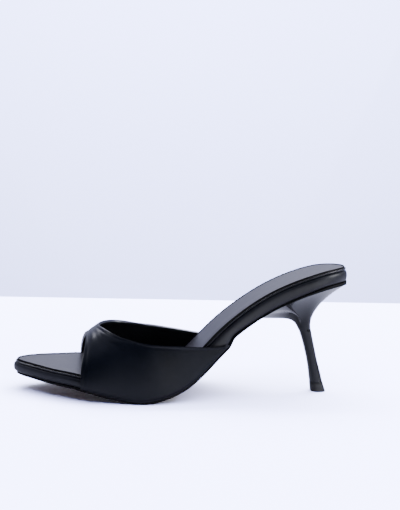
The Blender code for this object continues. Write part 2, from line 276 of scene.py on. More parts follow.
def leather(name, look):
    # smooth coated leather: fine pebble grain, faint clouding and a soft satin shine
    sizes = leatherGrain
    made, shader, start = newMaterial(name, {"Specular IOR Level": look["specular"]})
    here = start.node("ShaderNodeTexCoord", out=3)
    pebble = start.node(
        "ShaderNodeTexVoronoi", {"feature": "F1"},
        {"Vector": here, "Scale": 1 / look["pebble"], "Randomness": 1.0},
    )
    fine = start.node(
        "ShaderNodeTexNoise", {},
        {"Vector": here, "Scale": sizes["fineness"] / look["pebble"], "Detail": 3.0},
    )
    clouds = start.node(
        "ShaderNodeTexNoise", {},
        {"Vector": here, "Scale": 1 / look["cloudSize"], "Detail": 4.0},
    )
    pebbles = pebble.between(*sizes["pebbleEdges"]) * sizes["pebbleShare"]
    bump = start.node("ShaderNodeBump", {}, {
        "Strength": look["bump"], "Distance": sizes["depth"],
        "Height": pebbles + fine * sizes["fineShare"],
    })
    shade = clouds.between(*sizes["cloudEdges"])
    rough = look["roughness"] + (shade - 0.5) * look["roughnessSpread"]
    feed(start, shader, {
        "Base Color": shade.mix(look["dark"], look["light"]),
        "Roughness": rough + (fine - 0.5) * sizes["fineRoughness"],
        "Normal": bump,
    })
    return made


leatherLooks = {
    "vampLeather": {
        "dark": colour(0.0019, 0.0029, 0.0062), "light": colour(0.0034, 0.0048, 0.0096),
        "roughness": 0.33, "roughnessSpread": 0.06, "pebble": 0.55 * mm, "cloudSize": 26 * mm,
        "bump": 0.26, "specular": 0.34,
    },
    # the folded edge is the vamp's black leather painted far lighter and shinier: a painted highlight
    # along the topline and front edge
    "foldedEdgePaintedHighlight": {
        "dark": colour(0.0380, 0.0400, 0.0540), "light": colour(0.0540, 0.0570, 0.0760),
        "roughness": 0.34, "roughnessSpread": 0.06, "pebble": 0.45 * mm, "cloudSize": 14 * mm,
        "bump": 0.16, "specular": 1.0,
    },
    "vampLining": {
        "dark": colour(0.0030, 0.0032, 0.0042), "light": colour(0.0055, 0.0058, 0.0072),
        "roughness": 0.62, "roughnessSpread": 0.08, "pebble": 0.35 * mm, "cloudSize": 18 * mm,
        "bump": 0.25, "specular": 0.35,
    },
    # the pad is black leather painted dark grey: the lighter colour is painted sheen, on top of the real
    # shine its roughness gives
    "sockLeatherPaintedSheen": {
        "dark": colour(0.047, 0.045, 0.056), "light": colour(0.067, 0.065, 0.080),
        "roughness": 0.40, "roughnessSpread": 0.07, "pebble": 0.40 * mm, "cloudSize": 22 * mm,
        "bump": 0.22, "specular": 0.42,
    },
    "rimLeather": {
        "dark": colour(0.0040, 0.0044, 0.0070), "light": colour(0.0070, 0.0076, 0.0110),
        "roughness": 0.24, "roughnessSpread": 0.05, "pebble": 0.35 * mm, "cloudSize": 20 * mm,
        "bump": 0.12, "specular": 0.60,
    },
    "edgeLeather": {
        "dark": colour(0.0060, 0.0066, 0.0095), "light": colour(0.0105, 0.0115, 0.0155),
        "roughness": 0.42, "roughnessSpread": 0.08, "pebble": 0.50 * mm, "cloudSize": 20 * mm,
        "bump": 0.28, "specular": 0.46,
    },
}
finishes = {name: leather(name, look) for name, look in leatherLooks.items()}


heelLacquerLook = {
    "dark": colour(0.0045, 0.0047, 0.006), "light": colour(0.008, 0.0083, 0.010),
    "coatRoughness": 0.07, "coatIor": 1.42, "specular": 0.30,
    "waves": 90.0, "waveBump": 0.25, "waveDepth": 0.10 * mm,
    "dust": 2600.0, "dustTint": (0.45, 0.75),
    "roughness": 0.16, "dustRoughness": 0.10, "dustRough": (0.5, 0.8),
    "coat": 0.50, "dustOnCoat": 0.20, "dustThrough": (0.55, 0.85),
}


def lacquer(name, look):
    # moulded heel under black lacquer: a clear coat with a faint waviness
    made, shader, start = newMaterial(name, {
        "Coat Roughness": look["coatRoughness"],
        "Coat IOR": look["coatIor"],
        "Specular IOR Level": look["specular"],
    })
    here = start.node("ShaderNodeTexCoord", out=3)
    wave = start.node(
        "ShaderNodeTexNoise", {}, {"Vector": here, "Scale": look["waves"], "Detail": 1.0},
    )
    dust = start.node(
        "ShaderNodeTexNoise", {}, {"Vector": here, "Scale": look["dust"], "Detail": 2.0},
    )
    bump = start.node("ShaderNodeBump", {}, {
        "Strength": look["waveBump"], "Distance": look["waveDepth"], "Height": wave,
    })
    dustRough = dust.between(*look["dustRough"]) * look["dustRoughness"]
    dustThrough = dust.between(*look["dustThrough"]) * look["dustOnCoat"]
    feed(start, shader, {
        "Base Color": dust.between(*look["dustTint"]).mix(look["dark"], look["light"]),
        "Roughness": look["roughness"] + dustRough,
        "Coat Weight": look["coat"] - dustThrough,
        "Normal": bump,
    })
    return made


mouldedLooks = {
    # black of the sole's real edge; the pad's border takes it too, as painted shade
    "soleEdgeAndPaintedShade": {
        "dark": colour(0.0020, 0.0020, 0.0028), "light": colour(0.0040, 0.0040, 0.0052),
        "roughness": 0.62, "grain": 0.35 * mm, "bump": 0.25, "specular": 0.15,
    },
    "soleUnder": {
        "dark": colour(0.20, 0.125, 0.075), "light": colour(0.27, 0.175, 0.11),
        "roughness": 0.55, "grain": 0.45 * mm, "bump": 0.45, "specular": 0.45,
    },
    "tipRubber": {
        "dark": colour(0.009, 0.009, 0.010), "light": colour(0.016, 0.016, 0.017),
        "roughness": 0.50, "grain": 0.30 * mm, "bump": 0.35, "specular": 0.45,
    },
}
mouldedSkin = {
    "patches": 55.0, "patchEdges": (0.3, 0.7), "depth": 0.08 * mm, "roughnessSpread": 0.18,
}


def moulded(name, look):
    # rubber or hard plastic with a sandy moulded skin
    made, shader, start = newMaterial(name, {"Specular IOR Level": look["specular"]})
    here = start.node("ShaderNodeTexCoord", out=3)
    grain = start.node(
        "ShaderNodeTexNoise", {}, {"Vector": here, "Scale": 1 / look["grain"], "Detail": 4.0},
    )
    patch = start.node(
        "ShaderNodeTexNoise", {}, {"Vector": here, "Scale": mouldedSkin["patches"], "Detail": 3.0},
    )
    bump = start.node("ShaderNodeBump", {}, {
        "Strength": look["bump"], "Distance": mouldedSkin["depth"], "Height": grain,
    })
    feed(start, shader, {
        "Base Color": patch.between(*mouldedSkin["patchEdges"]).mix(look["dark"], look["light"]),
        "Roughness": look["roughness"] + (grain - 0.5) * mouldedSkin["roughnessSpread"],
        "Normal": bump,
    })
    return made


finishes["heelLacquer"] = lacquer("heelLacquer", heelLacquerLook)
for mouldedName, mouldedLook in mouldedLooks.items():
    finishes[mouldedName] = moulded(mouldedName, mouldedLook)
print("finishes", len(finishes))


def meshPiece(name, points, faces, materials, faceMaterials=None, sharp=40):
    # a plain mesh object at the origin, smooth except at edges sharper than given
    mesh = bpy.data.meshes.new(name)
    mesh.from_pydata([tuple(point) for point in points], [], [tuple(face) for face in faces])
    for material in materials:
        mesh.materials.append(finishes[material])
    if faceMaterials is not None:
        mesh.polygons.foreach_set("material_index", faceMaterials)
    mesh.validate()
    mesh.shade_smooth()
    mesh.set_sharp_from_angle(angle=math.radians(sharp))
    piece = bpy.data.objects.new(name, mesh)
    bpy.context.scene.collection.objects.link(piece)
    return piece


def settle(piece, node):
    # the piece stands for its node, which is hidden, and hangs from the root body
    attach(piece, "root")
    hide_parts(node)
    return piece


def bake(piece):
    # modifiers become plain mesh
    bpy.context.view_layer.update()
    evaluated = piece.evaluated_get(bpy.context.evaluated_depsgraph_get())
    mesh = bpy.data.meshes.new_from_object(evaluated)
    piece.modifiers.clear()
    piece.data = mesh
    return piece


def ringFaces(first, second):
    # quads between two rings of point numbers, outwards where the rings run up
    return [
        (first[k], first[(k + 1) % len(first)], second[(k + 1) % len(first)], second[k])
        for k in range(len(first))
    ]


def layerPiece(name, rings, materials, pickMaterial=None):
    # Rings run from the underside up. Each is stations, places across and heights, or one
    # height for all. Faces are numbered by strip, with -1 for the top cover and -2 for the
    # one underneath.
    count = last["outlineSteps"]
    half = count // 2
    share = np.arange(1, last["acrossSteps"]) / last["acrossSteps"]
    points = []
    faces = []
    strips = []
    for station, across, height in rings:
        points.extend(place(station, height, across))
    for i in range(len(rings) - 1):
        low = range(i * count, (i + 1) * count)
        high = range((i + 1) * count, (i + 2) * count)
        made = ringFaces(low, high)
        faces.extend(made)
        strips.extend([i] * len(made))
    for ringNumber, upward in ((0, False), (len(rings) - 1, True)):
        station, across, height = np.broadcast_arrays(*rings[ringNumber])
        first = ringNumber * count
        rows = []
        for k in range(1, half):
            m = count - k
            s = station[k] + (station[m] - station[k]) * share
            y = across[k] + (across[m] - across[k]) * share
            h = height[k] + (height[m] - height[k]) * share
            inner = range(len(points), len(points) + len(share))
            points.extend(place(s, h, y))
            rows.append([first + k, *inner, first + m])
        made = []
        for row, following in zip(rows, rows[1:]):
            for i in range(len(row) - 1):
                made.append((row[i], following[i], following[i + 1], row[i + 1]))
        for tip, row, turn in ((first, rows[0], 1), (first + half, rows[-1], -1)):
            for i in range(len(row) - 1):
                made.append((tip, row[i], row[i + 1])[::turn])
        faces.extend(made if upward else [face[::-1] for face in made])
        strips.extend([-1 if upward else -2] * len(made))
    picked = [pickMaterial(strip) if pickMaterial else 0 for strip in strips]
    return meshPiece(name, points, faces, materials, picked)


def edgeRings(shares, draw, top, thickness, overhang):
    # rings up an edge under a level top: draw by share of the height, the rest by station
    rings = []
    for share in shares:
        station, across = outlineRing(lambda s: overhang(s) - draw(share))
        rings.append((station, across, top - thickness(station) * (1 - share)))
    return rings


def superCurve(share, power):
    # how far a rounded edge draws in at a share of its height, 0 in the middle and 1 at both ends
    return 1 - max(1 - abs(2 * share - 1) ** power, 0) ** 0.5


def rounded(count):
    # shares of a height, crowded towards both ends
    return [(1 - math.cos(math.pi * i / count)) / 2 for i in range(count + 1)]


# Stretches are shares of the last's length, over which a size grows or fades.
randSizes = {
    "thickness": 6.1 * mm,
    "seatExtra": 1.6 * mm,
    "seatGrows": (0.50, 0.80),
    "lasting": 2.8 * mm,          # extra depth behind the ball, up to the vamp's end
    "lastingGrows": (0.38, 0.54),
    "lastingFades": (0.600, 0.632),
    "skiving": 1.1 * mm,          # taken over from the outsole under the waist
    "skivingGrows": (0.60, 0.70),
    "skivingFades": (0.80, 0.96),
    "overhangToe": 1.4 * mm,
    "overhangSeat": 0.5 * mm,
    "overhangChanges": (0.0, 0.8),
    "rounding": 1.9 * mm,
    "roundingPower": 2.6,
    "rows": 28,
}


def skivingAt(station):
    grow = grown(station, *randSizes["skivingGrows"])
    fade = grown(station, *randSizes["skivingFades"])
    return randSizes["skiving"] * grow * (1 - fade)


def randThickness(station):
    seat = randSizes["seatExtra"] * grown(station, *randSizes["seatGrows"])
    grow = grown(station, *randSizes["lastingGrows"])
    fade = grown(station, *randSizes["lastingFades"])
    lasting = randSizes["lasting"] * grow * (1 - fade)
    return randSizes["thickness"] + seat + lasting + skivingAt(station)


def randFoot(station):
    # depth of the platform's underside under the footbed
    return insoleSizes["thickness"] + gap + randThickness(station)


def randOverhang(station):
    change = randSizes["overhangSeat"] - randSizes["overhangToe"]
    return randSizes["overhangToe"] + change * grown(station, *randSizes["overhangChanges"])


def buildRand():
    sizes = randSizes
    rings = edgeRings(
        rounded(sizes["rows"]),
        lambda share: sizes["rounding"] * superCurve(share, sizes["roundingPower"]),
        -insoleSizes["thickness"] - gap,
        randThickness,
        randOverhang,
    )
    piece = layerPiece("wrapped_platform", rings, ["edgeLeather"])
    return settle(piece, "rand")


insoleSizes = {
    "thickness": 2.2 * mm,
    "ledge": 1.15 * mm,           # the rim stands this much under the insole's line
    "ledgeDepth": 0.25 * mm,      # and drops this far again beneath the pad
    "rimRounding": 0.48,          # share of the rim's height
    "rimPower": 2.2,
    "rimRows": 18,
    "padInset": 1.05 * mm,
    "padRise": -0.25 * mm,
    "padFoot": 0.4,               # the pad starts at this share of the drop
    "swell": 0.30 * mm,           # padding in the middle
}
# Where the rim drops under the pad: millimetres outside the pad, share of the drop.
ledgeCorner = [(0.25, 0.0), (0.12, 0.3), (0.08, 1.0)]
# Piping round the pad: how far in from its edge and height over the pad, in millimetres,
# and whether the strip that starts there is painted black as shade (pad's outer edge, piping's inner
# side, groove).
padBorder = [
    (0.00, -0.10, True),
    (0.06, 0.12, True),
    (0.20, 0.30, False),
    (0.40, 0.42, False),
    (0.60, 0.45, False),
    (0.80, 0.42, True),
    (0.98, 0.31, True),
    (1.11, 0.14, True),
    (1.20, -0.04, True),
    (1.32, -0.13, True),
    (1.48, -0.10, False),
    (1.66, -0.02, False),
    (1.95, 0.00, False),
]
padSwell = (2.4, 3.0, 3.8, 5.0, 6.8)     # rings over which the padding rises, in millimetres


def buildInsole():
    # rounded rim round a ledge that carries the pad
    sizes = insoleSizes
    depth = sizes["thickness"] - sizes["ledge"]
    rings = edgeRings(
        rounded(sizes["rimRows"]),
        lambda share: sizes["rimRounding"] * depth * superCurve(share, sizes["rimPower"]),
        -sizes["ledge"],
        lambda station: depth,
        lambda station: 0.0,
    )
    for outset, drop in ledgeCorner:
        station, across = outlineRing(outset * mm - sizes["padInset"])
        rings.append((station, across, -sizes["ledge"] - drop * sizes["ledgeDepth"]))
    piece = layerPiece("covered_insole", rings, ["rimLeather"])
    return settle(piece, "insole")


def buildSock():
    # padded sheet turned down all round, piped along its edge and swelling towards the middle;
    # its turned-down wall, outer edge, the piping's inner side and the groove are painted black as shade
    sizes = insoleSizes
    foot = -sizes["ledge"] - sizes["padFoot"] * sizes["ledgeDepth"]
    borderEnd = padBorder[-1][0]
    rings = []
    paintedShadeStrips = []
    for height in (foot, (foot + sizes["padRise"]) / 2):
        rings.append((*outlineRing(-sizes["padInset"]), height))
        paintedShadeStrips.append(True)
    for draw, height, inPaintedShade in padBorder:
        rings.append((*outlineRing(-sizes["padInset"] - draw * mm), sizes["padRise"] + height * mm))
        paintedShadeStrips.append(inPaintedShade)
    for draw in padSwell:
        share = float(smooth((draw - borderEnd) / (padSwell[-1] - borderEnd)))
        height = sizes["padRise"] + sizes["swell"] * share
        rings.append((*outlineRing(-sizes["padInset"] - draw * mm), height))
        paintedShadeStrips.append(False)
    # strips marked for shade get the black material: painted shade
    piece = layerPiece(
        "padded_sock", rings, ["sockLeatherPaintedSheen", "soleEdgeAndPaintedShade"],
        lambda strip: int(strip >= 0 and paintedShadeStrips[strip]),
    )
    return settle(piece, "insole_sock")


outsoleSizes = {
    "thickness": 1.7 * mm,
    "overhang": 0.2 * mm,
    "toeInset": 0.8 * mm,
    "border": 3.2 * mm,
    "recess": 0.35 * mm,
}
# Edge of the outsole from below: share of its thickness, and how far in, in millimetres.
outsoleEdge = [(0.0, 0.32), (0.06, 0.12), (0.2, 0.0), (0.9, 0.0), (1.0, 0.1)]


def outsoleOverhang(station):
    shortfall = outsoleSizes["toeInset"] * (1 - smooth(station / last["toeCurve"]))
    return outsoleSizes["overhang"] - shortfall


def outsoleThickness(station):
    return outsoleSizes["thickness"] - skivingAt(station)


def outsoleFoot(station):
    # depth of the sole's underside under the footbed
    return randFoot(station) + gap + outsoleThickness(station)


def buildOutsole():
    # black edge and border, tan underside sunk a little inside the border
    sizes = outsoleSizes
    rings = []
    inner = -sizes["border"]
    for outset, up in ((inner - sizes["recess"], sizes["recess"]), (inner, 0.0)):
        station, across = outlineRing(lambda s: outsoleOverhang(s) + outset)
        rings.append((station, across, up - outsoleFoot(station)))
    for share, draw in outsoleEdge:
        station, across = outlineRing(lambda s: outsoleOverhang(s) - draw * mm)
        rings.append((station, across, outsoleThickness(station) * share - outsoleFoot(station)))
    piece = layerPiece(
        "thin_outsole", rings, ["soleEdgeAndPaintedShade", "soleUnder"], lambda strip: int(strip == -2),
    )
    return settle(piece, "outsole")


# Vamp: one band over the ball of the foot.
vampSizes = {
    "wall": 1.8 * mm,
    "instep": 29.3 * mm,
    "curl": 0.9 * mm,             # how far the sides turn in at the foot
    "curlHeight": 2.1 * mm,
    "ease": 0.5 * mm,
    "lean": 0.5,                  # share of the footbed's slope that the band leans with
    "smoothing": 20.0 * mm,       # reach each way over which that slope is taken
    "crownPower": 2.15,
    "spreadPower": 2.4,
    "around": 300,
    "along": 84,
    "crowding": 0.62,             # draws the rows together at the feet
    "halvings": 40,
    "sideChange": (0.4, 0.6),     # turns over which the outer topline gives way to the inner
    "foldHeight": 0.20 * mm,      # the turned edge stands a little proud
    "foldPlace": 0.9 * mm,
    "foldWidth": 0.9 * mm,
    "sinkDepth": 0.12 * mm,
    "sinkPlace": 2.8 * mm,
    "edgeRounding": 0.62 * mm,
    "edgeSegments": 4,
    "edgeAngle": 50,
}

# Station share and height of the vamp's ridge as a share of the instep height.
vampRidge = [
    (0.183, 0.560),
    (0.200, 0.660),
    (0.218, 0.785),
    (0.240, 0.965),
    (0.260, 1.085),
    (0.286, 1.275),
    (0.312, 1.440),
    (0.352, 1.650),
    (0.384, 1.780),
    (0.433, 1.940),
    (0.498, 2.100),
    (0.606, 2.280),
]

# Place along the floor as a share of the last's length, then the topline's height over the
# ball on the outer and the inner side, as shares of the instep height.
topline = [
    (0.250, 1.240, 1.240),
    (0.270, 1.245, 1.230),
    (0.292, 1.214, 1.196),
    (0.326, 1.128, 1.138),
    (0.357, 1.071, 1.080),
    (0.383, 1.028, 1.048),
    (0.413, 0.998, 1.018),
    (0.444, 0.978, 0.985),
    (0.479, 0.966, 0.945),
    (0.522, 0.950, 0.892),
    (0.566, 0.936, 0.845),
    (0.609, 0.937, 0.836),
    (0.653, 0.970, 0.850),
]

# Front of the vamp: turn from the outer foot (0) over the ridge to the inner foot (1), and
# station share.
frontEdge = [
    (0.00, 0.223),
    (0.15, 0.220),
    (0.32, 0.221),
    (0.50, 0.212),
    (0.68, 0.195),
    (0.85, 0.185),
    (1.00, 0.186),
]

# Soft troughs and ridges: turn, share of the way back, half length and half width as
# shares of the band, depth in millimetres (a ridge is negative) and slant.
vampFolds = [
    (0.300, 0.46, 0.160, 0.12, 0.22, 0.5),
    (0.240, 0.62, 0.130, 0.07, 0.16, 0.6),
    (0.350, 0.30, 0.100, 0.12, -0.12, -0.3),
    (0.140, 0.55, 0.120, 0.16, 0.30, 0.2),
    (0.090, 0.30, 0.090, 0.16, -0.16, 0.3),
    (0.060, 0.74, 0.070, 0.12, 0.14, -0.2),
    (0.680, 0.50, 0.150, 0.12, 0.22, -0.4),
    (0.790, 0.42, 0.120, 0.14, 0.26, -0.2),
    (0.880, 0.62, 0.090, 0.13, -0.14, 0.2),
]

ridgeAt = tableSpline(vampRidge, 1)
outerTopline = tableSpline(topline, 1)
innerTopline = tableSpline(topline, 2)
frontAt = tableSpline(frontEdge, 1, scale=1.0)


def vampPoint(station, turn):
    # outer surface of the vamp, without folds
    sizes = vampSizes
    foot = randFoot(station)
    ridge = sizes["instep"] * ridgeAt(station)
    angle = np.pi * turn
    height = -foot + (ridge + foot) * np.clip(np.sin(angle), 0, 1) ** (2 / sizes["crownPower"])
    spread = np.abs(np.cos(angle)) ** (2 / sizes["spreadPower"])
    reach = halfWidth(station) + randOverhang(station) + sizes["ease"] + sizes["wall"]
    curl = sizes["curl"] * np.clip(1 - (height + foot) / sizes["curlHeight"], 0, 1) ** 2
    side = np.where(turn < 0.5, -1, 1)
    across = middleAt(station) + side * (reach * spread - curl)
    tilt = sizes["lean"] * slopeAt(station, sizes["smoothing"])
    run = height + foot
    base = place(station, -foot, across)
    return base + np.stack([-np.sin(tilt) * run, 0 * run, np.cos(tilt) * run], axis=-1)


def toplineLevel(x, turn):
    start, end = vampSizes["sideChange"]
    inner = smooth((turn - start) / (end - start))
    along = x - lastShift[0]
    share = outerTopline(along) * (1 - inner) + innerTopline(along) * inner
    return last["ballLevel"] + vampSizes["instep"] * share


def vampEnds(turn):
    # station where each line over the foot runs into the topline
    low = frontAt(turn) * last["length"]
    high = np.full_like(low, topline[-1][0] * last["length"])
    for _ in range(vampSizes["halvings"]):
        trial = (low + high) / 2
        point = vampPoint(trial, turn)
        below = point[..., 2] < toplineLevel(point[..., 0], turn)
        low = np.where(below, trial, low)
        high = np.where(below, high, trial)
    return low


def vampGrid():
    # points [around, along] on the outer surface, with their outward normals
    sizes = vampSizes
    even = np.arange(sizes["around"] + 1) / sizes["around"]
    turn = even - sizes["crowding"] * np.sin(2 * np.pi * even) / (2 * np.pi)
    start = frontAt(turn) * last["length"]
    end = vampEnds(turn)
    share = (1 - np.cos(np.pi * np.arange(sizes["along"] + 1) / sizes["along"])) / 2
    station = start[:, None] + (end - start)[:, None] * share[None, :]
    turns = np.broadcast_to(turn[:, None], station.shape)
    points = vampPoint(station, turns)
    normals = np.cross(np.gradient(points, axis=1), np.gradient(points, axis=0))
    normals = normals / np.linalg.norm(normals, axis=2, keepdims=True)
    steps = np.linalg.norm(np.diff(points, axis=1), axis=2)
    fromFront = np.concatenate([np.zeros((len(even), 1)), np.cumsum(steps, axis=1)], axis=1)
    fromTop = fromFront[:, -1:] - fromFront
    return points, normals, turns, share, fromFront, fromTop


def vampRelief(turns, share, fromFront, fromTop):
    # how far the leather stands off its plain form
    sizes = vampSizes
    relief = np.zeros_like(turns)
    for distance in (fromFront, fromTop):
        fold = np.exp(-((distance - sizes["foldPlace"]) / sizes["foldWidth"]) ** 2)
        sink = np.exp(-((distance - sizes["sinkPlace"]) / sizes["foldWidth"]) ** 2)
        relief += sizes["foldHeight"] * fold - sizes["sinkDepth"] * sink
    for turn, back, length, width, depth, slant in vampFolds:
        a = (turns - turn) / length
        b = (share[None, :] - back - slant * (turns - turn)) / width
        relief -= depth * mm * np.exp(-a * a - b * b)
    return relief


def buildVamp():
    sizes = vampSizes
    points, normals, turns, share, fromFront, fromTop = vampGrid()
    outward = np.sign(np.sum(normals[len(normals) // 2, :, 2]))
    normals = normals * outward     # the ridge's normals point up
    relief = vampRelief(turns, share, fromFront, fromTop)
    points = points + normals * relief[..., None]
    rows, columns = turns.shape
    faces = []
    for i in range(rows - 1):
        for k in range(columns - 1):
            corner = i * columns + k
            face = (corner, corner + 1, corner + columns + 1, corner + columns)
            faces.append(face)
    materials = ["vampLeather", "vampLining", "foldedEdgePaintedHighlight"]
    piece = meshPiece("vamp", points.reshape(-1, 3), faces, materials, sharp=180)
    wall = piece.modifiers.new("wall", "SOLIDIFY")
    wall.thickness = sizes["wall"]
    wall.offset = -1
    wall.use_even_offset = True
    wall.material_offset = materials.index("vampLining")
    # the rim faces and the rounded edge take the lighter edge material, a painted highlight
    wall.material_offset_rim = materials.index("foldedEdgePaintedHighlight")
    edge = piece.modifiers.new("foldedEdge", "BEVEL")
    edge.width = sizes["edgeRounding"]
    edge.segments = sizes["edgeSegments"]
    edge.material = materials.index("foldedEdgePaintedHighlight")
    edge.limit_method = "ANGLE"
    edge.angle_limit = math.radians(sizes["edgeAngle"])
    bake(piece)
    piece.data.shade_smooth()
    return settle(piece, "upper")


# Heel: a slim stem that flares into the seat, with a tongue under the shank.
heelSizes = {
    "stemDepth": 7.4 * mm,
    "stemWidth": 7.6 * mm,
    "stemLean": 10.0 * mm,
    "stemPower": 0.85,
    "waist": 43.0 * mm,           # height where the stem starts to flare
    "inset": 0.5 * mm,
    "breastSetback": 48.8 * mm,
    "breastCorner": (40, 68),     # degrees from the front, where breast turns into flank
    "tongue": 24.0 * mm,
    "tonguePower": 1.7,
    "tongueRounding": 0.8,
    "flankPower": 2.35,
    "breastPower": 10.5,
    "flareCrowding": 2.2,         # draws the flare's rings together at the waist
    "leanFading": 3,              # how soon the flare leaves the stem's lean
    "leanStretch": 0.1,           # share of the waist over which that lean is taken
    "footBevel": 0.15 * mm,
    "around": 128,
    "stemRings": 40,
    "flareRings": 90,
    "tipHeight": 6.3 * mm,
}
# Heel tip: heights over the floor, or under its top, and how far out, in millimetres.
tipFoot = [(0.0, -0.45), (0.06, -0.2), (0.2, -0.05), (0.5, 0.0), (2.0, 0.0), (4.0, 0.0)]
tipTop = [(0.5, 0.0), (0.12, -0.05), (0.0, -0.25)]
# Share of the waist height, then shares of the stem's lean, depth and width.
stemShape = [
    (0.00, 0.00, 1.46, 1.37),
    (0.15, 0.15, 1.26, 1.20),
    (0.33, 0.30, 1.12, 1.06),
    (0.51, 0.47, 1.00, 1.00),
    (0.67, 0.63, 1.00, 1.00),
    (0.84, 0.81, 1.04, 1.04),
    (1.00, 1.00, 1.14, 1.14),
]
stemLean = tableSpline(stemShape, 1, scale=1.0)
stemDeep = tableSpline(stemShape, 2, scale=1.0)
stemWide = tableSpline(stemShape, 3, scale=1.0)


def heelAngles():
    return 2 * np.pi * np.arange(heelSizes["around"]) / heelSizes["around"]


def stemRing(level, grow=0.0):
    # the stem's section at a height over the floor
    sizes = heelSizes
    share = level / sizes["waist"]
    angle = heelAngles()
    along = -np.sign(np.cos(angle)) * np.abs(np.cos(angle)) ** sizes["stemPower"]
    across = -np.sign(np.sin(angle)) * np.abs(np.sin(angle)) ** sizes["stemPower"]
    deep = 0.5 * sizes["stemDepth"] * stemDeep(share) + grow
    wide = 0.5 * sizes["stemWidth"] * stemWide(share) + grow
    x = heelStation - sizes["stemLean"] * stemLean(share) + deep * along
    y = middleAt(heelStation) + wide * across
    return np.stack([x, y, np.full_like(x, level)], axis=-1) + lastShift


def seatRing():
    # where the heel meets the sole: the seat's outline, drawn out to a tongue in front
    sizes = heelSizes
    breast = last["length"] - sizes["breastSetback"]
    front = breast - sizes["tongue"]
    back = last["length"] - sizes["inset"]
    angle = heelAngles()
    station = front + (back - front) * (1 - np.cos(angle)) / 2
    taper = np.clip((breast - station) / sizes["tongue"], 0, 1)
    share = (station - front) / (back - front)
    narrowed = (1 - taper ** sizes["tonguePower"]) ** sizes["tongueRounding"]
    reach = (halfWidth(station - sizes["inset"] * share) - sizes["inset"]) * narrowed
    side = np.where(angle <= np.pi, -1, 1)
    across = middleAt(station) + side * np.maximum(reach, 0)
    return place(station, -outsoleFoot(station), across) - np.array([0, 0, gap])


def ringStack(rings):
    # faces of closed rings, with both ends covered by strips across
    count = len(rings[0])
    faces = []
    for i in range(len(rings) - 1):
        low = range(i * count, (i + 1) * count)
        high = range((i + 1) * count, (i + 2) * count)
        faces.extend(ringFaces(low, high))
    for start, upward in ((0, False), ((len(rings) - 1) * count, True)):
        made = []
        for k in range(count // 2):
            n = (count - k) % count
            corners = [start + k, start + k + 1, start + (n or count) - 1, start + n]
            made.append(list(dict.fromkeys(corners)))     # the first and last are triangles
        faces.extend(made if upward else [face[::-1] for face in made])
    return faces


def breastShare():
    # 1 round the front of the heel, 0 on its flanks and back
    start, end = heelSizes["breastCorner"]
    turned = np.degrees(heelAngles())
    turned = np.minimum(turned, 360 - turned)
    return 1 - smooth((turned - start) / (end - start))


def buildHeel():
    sizes = heelSizes
    foot = sizes["tipHeight"] + gap
    bevel = sizes["footBevel"]
    rings = [stemRing(foot, grow=-bevel), stemRing(foot + bevel)]
    for i in range(1, sizes["stemRings"] + 1):
        rings.append(stemRing(foot + (sizes["waist"] - foot) * i / sizes["stemRings"]))
    waist = rings[-1]
    seat = seatRing()
    stretch = sizes["leanStretch"]
    leanLeft = float(stemLean(1.0) - stemLean(1.0 - stretch))
    lean = sizes["stemLean"] * leanLeft / (stretch * sizes["waist"])
    breast = breastShare()
    rise = seat[:, 2] - waist[:, 2]
    for i in range(1, sizes["flareRings"] + 1):
        reach = (i / sizes["flareRings"]) ** sizes["flareCrowding"]
        onFlank = reach ** (1 / sizes["flankPower"])
        onBreast = 1 - (1 - reach) ** sizes["breastPower"]
        lift = onFlank + (onBreast - onFlank) * breast
        ring = waist + (seat - waist) * reach
        ring[:, 0] -= lean * rise * lift * (1 - lift) ** sizes["leanFading"]
        ring[:, 2] = waist[:, 2] + rise * lift
        rings.append(ring)
    points = np.concatenate(rings)
    piece = meshPiece("slim_heel", points, ringStack(rings), ["heelLacquer"], sharp=35)
    return settle(piece, "heel")


def buildHeelTip():
    top = heelSizes["tipHeight"]
    rings = [stemRing(height * mm, grow=out * mm) for height, out in tipFoot]
    rings.extend(stemRing(top - under * mm, grow=out * mm) for under, out in tipTop)
    piece = meshPiece("heel_top_piece", np.concatenate(rings), ringStack(rings), ["tipRubber"])
    return settle(piece, "heel_tip")


def sweepTree(name):
    # each path of edges becomes a bar of the given width and height
    tree = bpy.data.node_groups.new(name, "GeometryNodeTree")
    face = tree.interface
    face.new_socket("Geometry", in_out="INPUT", socket_type="NodeSocketGeometry")
    face.new_socket("Bar Width", in_out="INPUT", socket_type="NodeSocketFloat")
    face.new_socket("Bar Height", in_out="INPUT", socket_type="NodeSocketFloat")
    face.new_socket("Finish", in_out="INPUT", socket_type="NodeSocketMaterial")
    face.new_socket("Geometry", in_out="OUTPUT", socket_type="NodeSocketGeometry")
    start = tree.nodes.new("NodeGroupInput")
    end = tree.nodes.new("NodeGroupOutput")
    toCurve = tree.nodes.new("GeometryNodeMeshToCurve")
    profile = tree.nodes.new("GeometryNodeCurvePrimitiveQuadrilateral")
    toMesh = tree.nodes.new("GeometryNodeCurveToMesh")
    realize = tree.nodes.new("GeometryNodeRealizeInstances")
    finish = tree.nodes.new("GeometryNodeSetMaterial")
    toMesh.inputs["Fill Caps"].default_value = True
    links = tree.links
    links.new(start.outputs["Geometry"], toCurve.inputs["Mesh"])
    links.new(start.outputs["Bar Width"], profile.inputs["Width"])
    links.new(start.outputs["Bar Height"], profile.inputs["Height"])
    links.new(toCurve.outputs["Curve"], toMesh.inputs["Curve"])
    links.new(profile.outputs["Curve"], toMesh.inputs["Profile Curve"])
    links.new(toMesh.outputs["Mesh"], realize.inputs["Geometry"])
    links.new(realize.outputs["Geometry"], finish.inputs["Geometry"])
    links.new(start.outputs["Finish"], finish.inputs["Material"])
    links.new(finish.outputs["Geometry"], end.inputs["Geometry"])
    return tree


